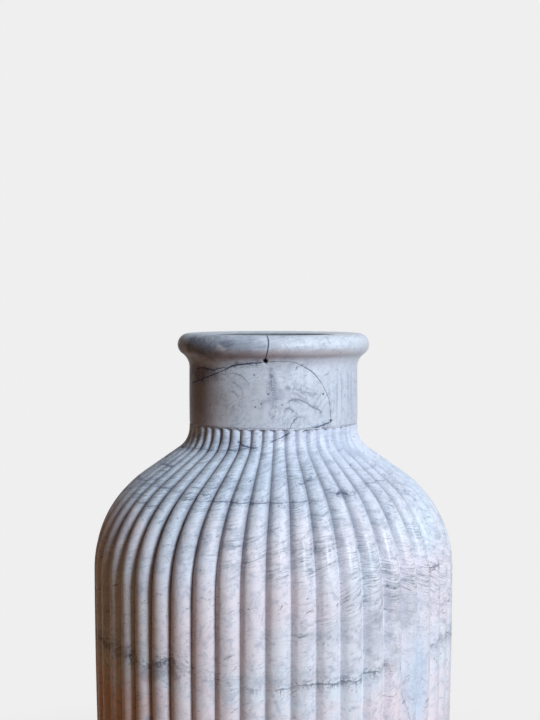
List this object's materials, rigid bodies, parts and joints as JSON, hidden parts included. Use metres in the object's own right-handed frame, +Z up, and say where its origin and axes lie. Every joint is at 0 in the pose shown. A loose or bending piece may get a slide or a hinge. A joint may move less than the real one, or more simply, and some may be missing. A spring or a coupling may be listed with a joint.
{
  "type": "urn vase",
  "caption": "Reeded urn vase: a hollow cast body with ribs from neck to foot, a smooth bonded neck collar with a rolled rim, a base plug and felt pads.",
  "frame": {"origin": "on the vase's axis, at the height of the surface that its felt pads stand on", "axes": "+Z up along the axis towards the mouth; -Y is the side that the picture shows"},
  "size_m": [0.1498, 0.1498, 0.235],
  "materials": {
    "marbled_cast": "satin",
    "joint_filler": "matte",
    "sealer": "gloss",
    "felt": "matte"
  },
  "bodies": {
    "root": {"body_shell": "marbled_cast", "neck_collar": "marbled_cast", "neck_joint_adhesive": "joint_filler", "base_plug": "marbled_cast", "sealing_coat": "sealer", "foot_pads": "felt"}
  },
  "joints": []
}
